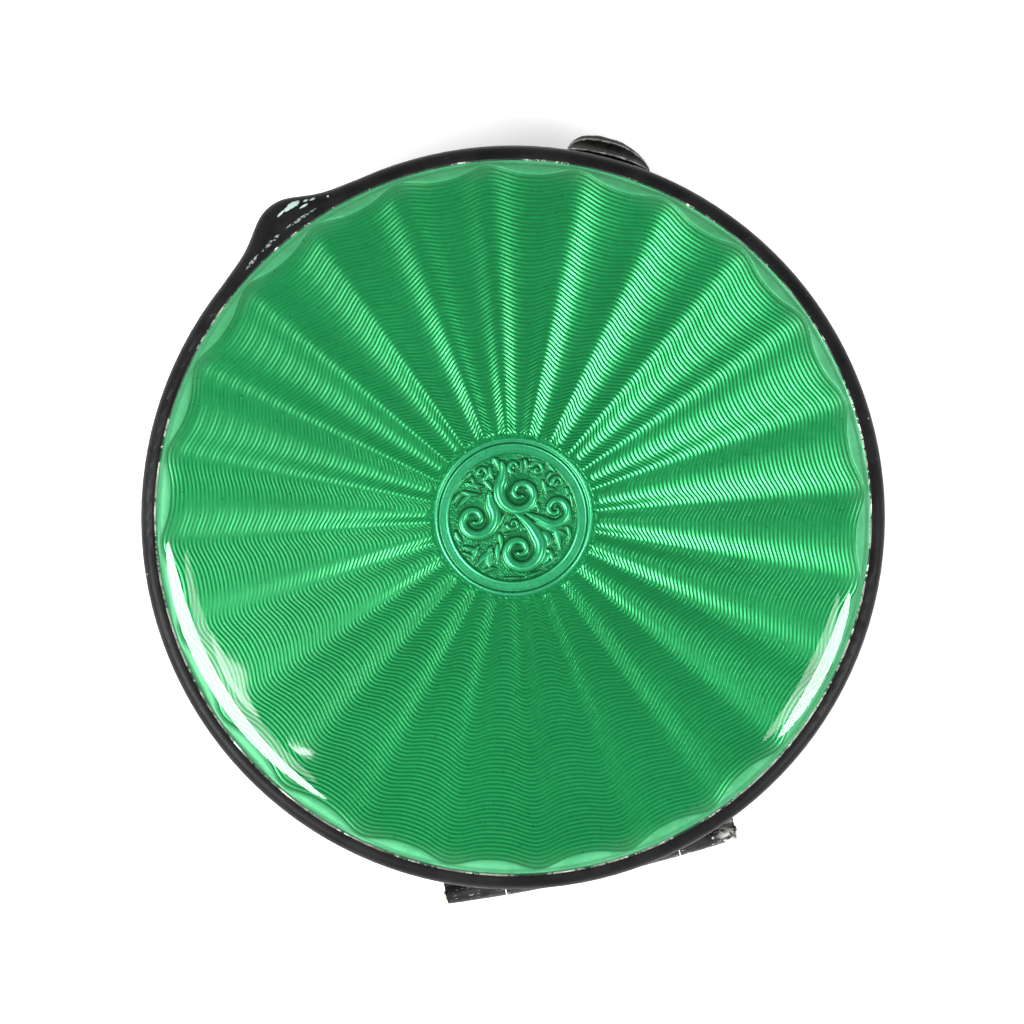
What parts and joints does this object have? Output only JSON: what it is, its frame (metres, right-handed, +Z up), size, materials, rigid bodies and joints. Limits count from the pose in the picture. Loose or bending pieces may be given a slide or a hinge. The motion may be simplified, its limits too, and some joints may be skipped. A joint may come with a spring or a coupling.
{
  "type": "pill box",
  "caption": "Round hinged pill box with a domed, engine-turned green enamel lid, black rim, plain tab and ribbed thumb grip; it holds pills or small trinkets.",
  "frame": {"origin": "centre of the flat underside, on the axis of the round rim", "axes": "+Z up through the lid, +Y to the hinge at the back, +X to the right seen from the front, so the two thumb pieces are at -Y"},
  "size_m": [0.05, 0.05, 0.013],
  "materials": {
    "black_rim": "worn gloss black over silver",
    "silver_plate": "engine-turned silver",
    "green_enamel": "clear polished green enamel",
    "gilt": "satin gilding",
    "worn_hinge": "black worn through to metal",
    "pin_metal": "worn, riveted over",
    "worn_silver": "oxidised silver, ridges rubbed bright"
  },
  "bodies": {
    "base": {"base_shell": "black_rim", "base_liner": "gilt", "base_collar": "gilt", "base_knuckle_left": "worn_hinge", "base_knuckle_middle": "worn_hinge", "base_knuckle_right": "worn_hinge", "hinge_pin": "pin_metal", "base_thumb_grip": "worn_silver"},
    "lid": {"lid_frame": "black_rim", "guilloche_plate": "silver_plate", "lid_enamel": "green_enamel", "lid_liner": "gilt", "lid_knuckle_left": "worn_hinge", "lid_knuckle_right": "worn_hinge"}
  },
  "joints": [
    {"name": "lid_hinge", "type": "hinge", "parent": "base", "child": "lid", "pos_m": [0, 0.02392, 0.007], "axis": [-1, 0, 0], "range_deg": [0, 95]}
  ]
}
